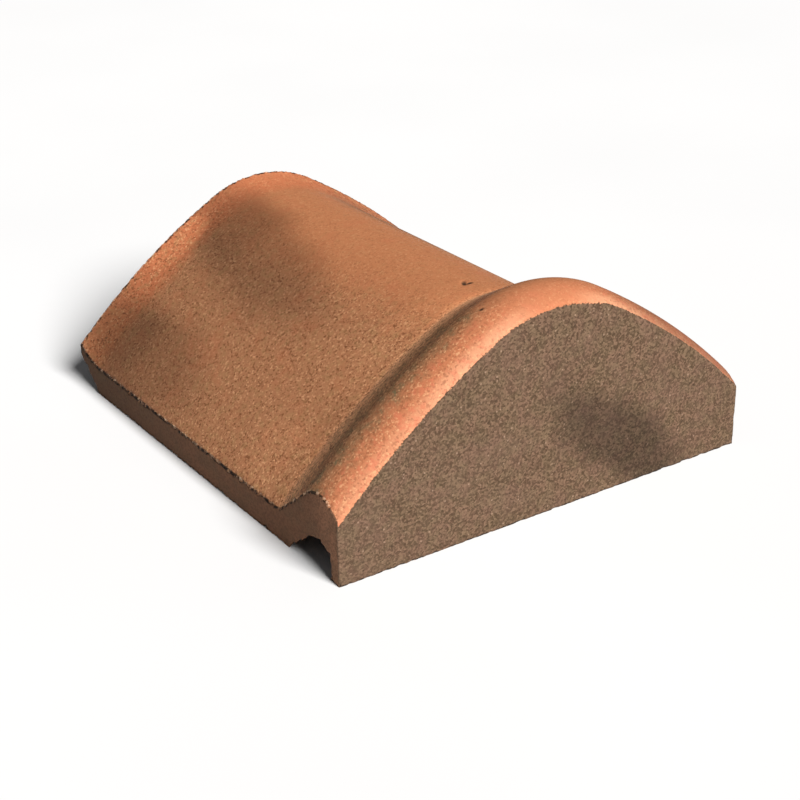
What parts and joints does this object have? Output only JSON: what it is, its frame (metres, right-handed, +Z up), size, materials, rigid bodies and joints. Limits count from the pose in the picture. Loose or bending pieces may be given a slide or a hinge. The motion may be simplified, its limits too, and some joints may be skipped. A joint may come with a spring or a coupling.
{
  "type": "ridge tile",
  "caption": "Ridge tile that closes the start of a ridge: arched hollow body, raised bead beside a flat end wall, upturned lip at the open end.",
  "frame": {"origin": "on the bed plane, at the middle of the tile's length and width", "axes": "+X across the tile, +Y along the ridge from the closed end to the open end, +Z up"},
  "size_m": [0.25, 0.281, 0.1165],
  "materials": {
    "tile_body": "coarse sandy body, terracotta coloured coat on the upper surface, dull"
  },
  "bodies": {
    "root": {"ridge_tile": "tile_body"}
  },
  "joints": []
}
